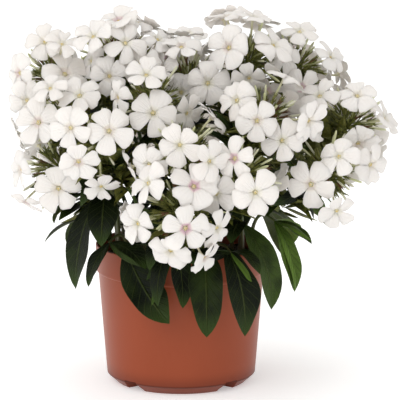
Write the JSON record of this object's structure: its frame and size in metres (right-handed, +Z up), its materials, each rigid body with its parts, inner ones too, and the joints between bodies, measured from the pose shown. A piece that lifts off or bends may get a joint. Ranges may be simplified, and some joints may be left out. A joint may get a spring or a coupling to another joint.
{
  "type": "potted phlox plant",
  "caption": "Compact white garden phlox with domed heads of five-petalled flowers and long drooping leaves, standing in a round terracotta-coloured plastic nursery pot.",
  "frame": {"origin": "middle of the pot's underside, on the ground", "axes": "+Z up along the pot's axis; -Y towards the plant's front, where the drooping leaves and the lowest flower head hang over the rim; +X to the right seen from the front"},
  "size_m": [0.3204, 0.3015, 0.3112],
  "materials": {
    "terracotta_plastic": "smooth moulded polypropylene with a soft sheen",
    "compost": "rough, damp peat and bark",
    "leaves": "satin leaf surface with sunken veins",
    "petals": "soft matt petals"
  },
  "bodies": {
    "root": {"compost": "compost", "flower_head_back_left": "petals", "flower_head_back_left_low": "petals", "flower_head_back_left_top": "petals", "flower_head_back_middle_low": "petals", "flower_head_back_middle_top": "petals", "flower_head_back_right": "petals", "flower_head_back_right_low": "petals", "flower_head_back_right_top": "petals", "flower_head_left": "petals", "flower_head_left_front": "petals", "flower_head_left_low": "petals", "flower_head_left_shoulder": "petals", "flower_head_left_top": "petals", "flower_head_low_front": "petals", "flower_head_middle": "petals", "flower_head_middle_left": "petals", "flower_head_middle_top": "petals", "flower_head_right": "petals", "flower_head_right_front": "petals", "flower_head_right_low": "petals", "flower_head_right_middle": "petals", "flower_head_right_peak": "petals", "flower_head_right_top": "petals", "leafy_stem_01": "leaves", "leafy_stem_02": "leaves", "leafy_stem_03": "leaves", "leafy_stem_04": "leaves", "leafy_stem_05": "leaves", "leafy_stem_06": "leaves", "leafy_stem_07": "leaves", "leafy_stem_08": "leaves", "leafy_stem_09": "leaves", "leafy_stem_10": "leaves", "leafy_stem_11": "leaves", "leafy_stem_12": "leaves", "leafy_stem_13": "leaves", "leafy_stem_14": "leaves", "leafy_stem_15": "leaves", "leafy_stem_16": "leaves", "pot": "terracotta_plastic", "side_shoot_1": "leaves", "side_shoot_10": "leaves", "side_shoot_11": "leaves", "side_shoot_12": "leaves", "side_shoot_2": "leaves", "side_shoot_3": "leaves", "side_shoot_4": "leaves", "side_shoot_5": "leaves", "side_shoot_6": "leaves", "side_shoot_7": "leaves", "side_shoot_8": "leaves", "side_shoot_9": "leaves"}
  },
  "joints": []
}
